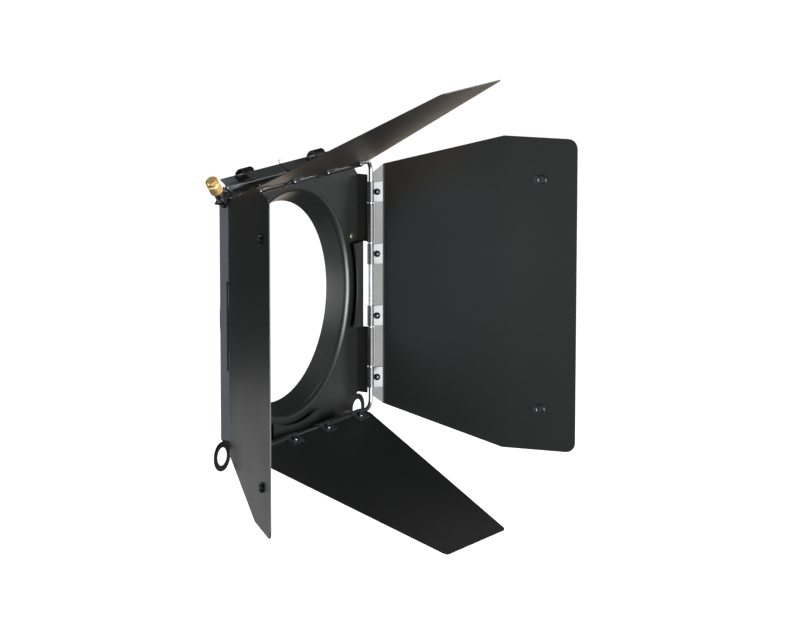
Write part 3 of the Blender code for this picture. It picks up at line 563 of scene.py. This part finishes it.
def hubProfile(look):
    # outer end of the rivet: a hub with a narrower step on it
    foot = -look["gap"]
    shoulder = foot - look["hubTall"]
    end = foot - look["stepTall"]
    return [(look["hub"], foot), (look["hub"], shoulder + look["hubEdge"]),
            (look["hub"] - look["hubEdge"], shoulder), (look["step"], shoulder),
            (look["step"], end + look["stepEdge"]), (look["step"] - look["stepEdge"], end), (0, end)]


def finishClip(side, end):
    node = f"{side}_clip_{end}"
    look = clipLooks
    panel = panelFrame(side)
    spot = panel.inverted() @ boxCentre(node)
    place = panel @ Matrix.Translation((spot.x, spot.y, 0))
    face = look["gap"]
    shank = [(look["shank"], face), (look["shank"], -face)]
    bm = bmesh.new()
    turnProfile(bm, dishProfile(look) + shank + hubProfile(look), look["steps"])
    roundedPlate(bm, look["tabLong"], look["tabWide"], look["tabCorner"], face, face + look["sheet"],
                 Matrix.Translation((look["tabShift"], 0, 0)))
    roundedPlate(bm, look["stripLong"], look["stripWide"], look["stripCorner"],
                 -face - look["stripSheet"], -face, Matrix())
    finishPiece(placed(bm, place), node)


for side in ("right", "left"):
    for end in ("upper", "lower"):
        finishClip(side, end)
print("clips finished")


# ---- frame plate: pressed bends with their own radii, then every other edge broken

plateLooks = dict(bend=0.9 * mm, bendSteps=4, edge=0.22 * mm)


def finishPlate():
    bm = mergedCopy("frame_plate")
    half = abs(jointOf["right_leaf_hinge"]["pos_m"][0]) + 3 * mm
    folds = [e for e in sharpEdges(bm, 80) if isFold(e, half)]
    roundEdges(bm, folds, plateLooks["bend"], plateLooks["bendSteps"])
    roundEdges(bm, sharpEdges(bm, 45), plateLooks["edge"])
    finishPiece(bm, "frame_plate")


def isFold(edge, half):
    # long edges where a flange turns forward out of the flat plate
    ends = [v.co for v in edge.verts]
    if edge.calc_length() < 10 * mm or max(abs(p.y) for p in ends) > 1.4 * mm:
        return False
    sides = [max(abs(p.x), abs(p.z)) for p in ends]
    straight = abs(ends[0].x - ends[1].x) < 0.1 * mm or abs(ends[0].z - ends[1].z) < 0.1 * mm
    return straight and min(sides) > half - 2.6 * mm


finishPlate()
print("frame plate finished")


# ---- everything that keeps its CAD outline gets broken edges

edgeWidths = {"top_flap": 0.22, "rivet": 0.15, "jaw": 0.2, "pin": 0.2, "bracket": 0.22, "spring": 0.0}


def edgeWidth(node):
    for word, width in edgeWidths.items():
        if word in node:
            return width * mm
    return 0.2 * mm


def softenNode(node):
    bm = mergedCopy(node)
    if edgeWidth(node):
        roundEdges(bm, sharpEdges(bm, 40), edgeWidth(node))
    finishPiece(bm, node)


made = {obj.name.removesuffix("_finished") for obj in bpy.data.objects if obj.name.endswith("_finished")}
for node in sorted(set(frame["nodes"]) - made):
    softenNode(node)
print("edges broken on the other", len(frame["nodes"]) - len(made), "pieces")


# ---- floor, light and camera

# the plain transform shows a brightness of one as white, so the backdrop needs no more than that
stageLooks = dict(floorHeight=-0.7, roomLight=0.06, backdrop=1.0, transform="Standard")


def addStage():
    # white floor for the camera only, so that it throws no light up on the black paint
    made, tree, _, out = startMaterial("plain pale floor")
    skin = addNode(tree, "ShaderNodeBsdfPrincipled", {"Base Color": srgb("#f4f4f3"), "Roughness": 0.9,
                                                      "Emission Color": srgb("#ffffff"),
                                                      "Emission Strength": stageLooks["backdrop"]})
    tree.links.new(skin.outputs[0], out.inputs["Surface"])
    bm = bmesh.new()
    bmesh.ops.create_grid(bm, x_segments=1, y_segments=1, size=12,
                          matrix=Matrix.Translation((0, 0, stageLooks["floorHeight"])))
    mesh = bpy.data.meshes.new("floor")
    bm.to_mesh(mesh)
    bm.free()
    floor = bpy.data.objects.new("floor", mesh)
    floor.data.materials.append(made)
    bpy.context.scene.collection.objects.link(floor)
    floor.visible_diffuse = False
    floor.visible_glossy = False


# direction from the set, distance, width, height, brightness and colour of each softbox
softboxes = {
    "front softbox": dict(way=(-0.30, -0.94, -0.12), away=2.6, wide=2.2, tall=1.9, glow=22,
                          colour="#ffffff"),
    "right softbox": dict(way=(0.83, -0.47, 0.24), away=2.4, wide=1.2, tall=0.9, glow=8,
                          colour="#fffdf8"),
    "left softbox": dict(way=(-0.96, -0.24, -0.12), away=2.2, wide=0.9, tall=1.3, glow=3.2,
                         colour="#fbfffc"),
    "left rear softbox": dict(way=(-0.74, 0.65, -0.16), away=2.2, wide=0.7, tall=1.2, glow=11,
                              colour="#d6dfec"),
    "low rear card": dict(way=(0.095, 0.31, -0.28), away=0.45, wide=0.5, tall=0.34, glow=0.7,
                          colour="#ffffff"),
    "right rear card": dict(way=(0.84, 0.43, -0.34), away=1.6, wide=0.8, tall=0.7, glow=1.3,
                            colour="#ffeedd"),
    "overhead softbox": dict(way=(0.15, 0.10, 0.98), away=2.4, wide=1.2, tall=1.2, glow=5,
                             colour="#ffffff"),
}


def addSoftbox(name, look):
    light = bpy.data.lights.new(name, "AREA")
    light.shape = "RECTANGLE"
    light.size = look["wide"]
    light.size_y = look["tall"]
    light.energy = look["glow"] * pi * look["wide"] * look["tall"]
    light.color = srgb(look["colour"])[:3]
    lamp = bpy.data.objects.new(name, light)
    way = Vector(look["way"]).normalized()
    lamp.location = way * look["away"]
    lamp.rotation_euler = (-way).to_track_quat("-Z", "Y").to_euler()
    lamp.visible_camera = False
    bpy.context.scene.collection.objects.link(lamp)


def addWorld():
    world = bpy.data.worlds.new("studio")
    bpy.context.scene.world = world
    world.use_nodes = True
    tree = world.node_tree
    tree.nodes.clear()
    path = addNode(tree, "ShaderNodeLightPath")
    room = addNode(tree, "ShaderNodeBackground", {"Color": srgb("#ffffff"),
                                                  "Strength": stageLooks["roomLight"]})
    seen = addNode(tree, "ShaderNodeBackground", {"Color": srgb("#ffffff"),
                                                  "Strength": stageLooks["backdrop"]})
    mixed = addNode(tree, "ShaderNodeMixShader", {0: path.outputs["Is Camera Ray"], 1: room.outputs[0],
                                                  2: seen.outputs[0]})
    addNode(tree, "ShaderNodeOutputWorld", {"Surface": mixed.outputs[0]})


cameraSet = dict(yaw=58.94, pitch=10.88, roll=-0.17, distance=4.009, lens=193.7,
                 across=1.2536, up=0.1943)


def addCamera():
    # stands to the front left, a little above, and looks past the frame's centre
    yaw = radians(cameraSet["yaw"])
    pitch = radians(cameraSet["pitch"])
    target = Vector((0, -17 * mm, 0))
    away = Vector((-sin(yaw) * cos(pitch), -cos(yaw) * cos(pitch), sin(pitch)))
    right = Vector((cos(yaw), -sin(yaw), 0))
    up = away.cross(right)
    turned = Matrix((right, up, away)).transposed()
    turned = turned @ Matrix.Rotation(radians(cameraSet["roll"]), 3, "Z")
    turned = turned @ Matrix.Rotation(-radians(cameraSet["across"]), 3, "Y")
    turned = turned @ Matrix.Rotation(-radians(cameraSet["up"]), 3, "X")
    data = bpy.data.cameras.new("camera")
    data.lens = cameraSet["lens"]
    data.clip_end = 50
    camera = bpy.data.objects.new("camera", data)
    camera.matrix_world = Matrix.Translation(target + away * cameraSet["distance"]) @ turned.to_4x4()
    bpy.context.scene.collection.objects.link(camera)
    bpy.context.scene.camera = camera


addStage()
addWorld()
bpy.context.scene.view_settings.view_transform = stageLooks["transform"]
for name, look in softboxes.items():
    addSoftbox(name, look)
addCamera()
print("stage, light and camera set")
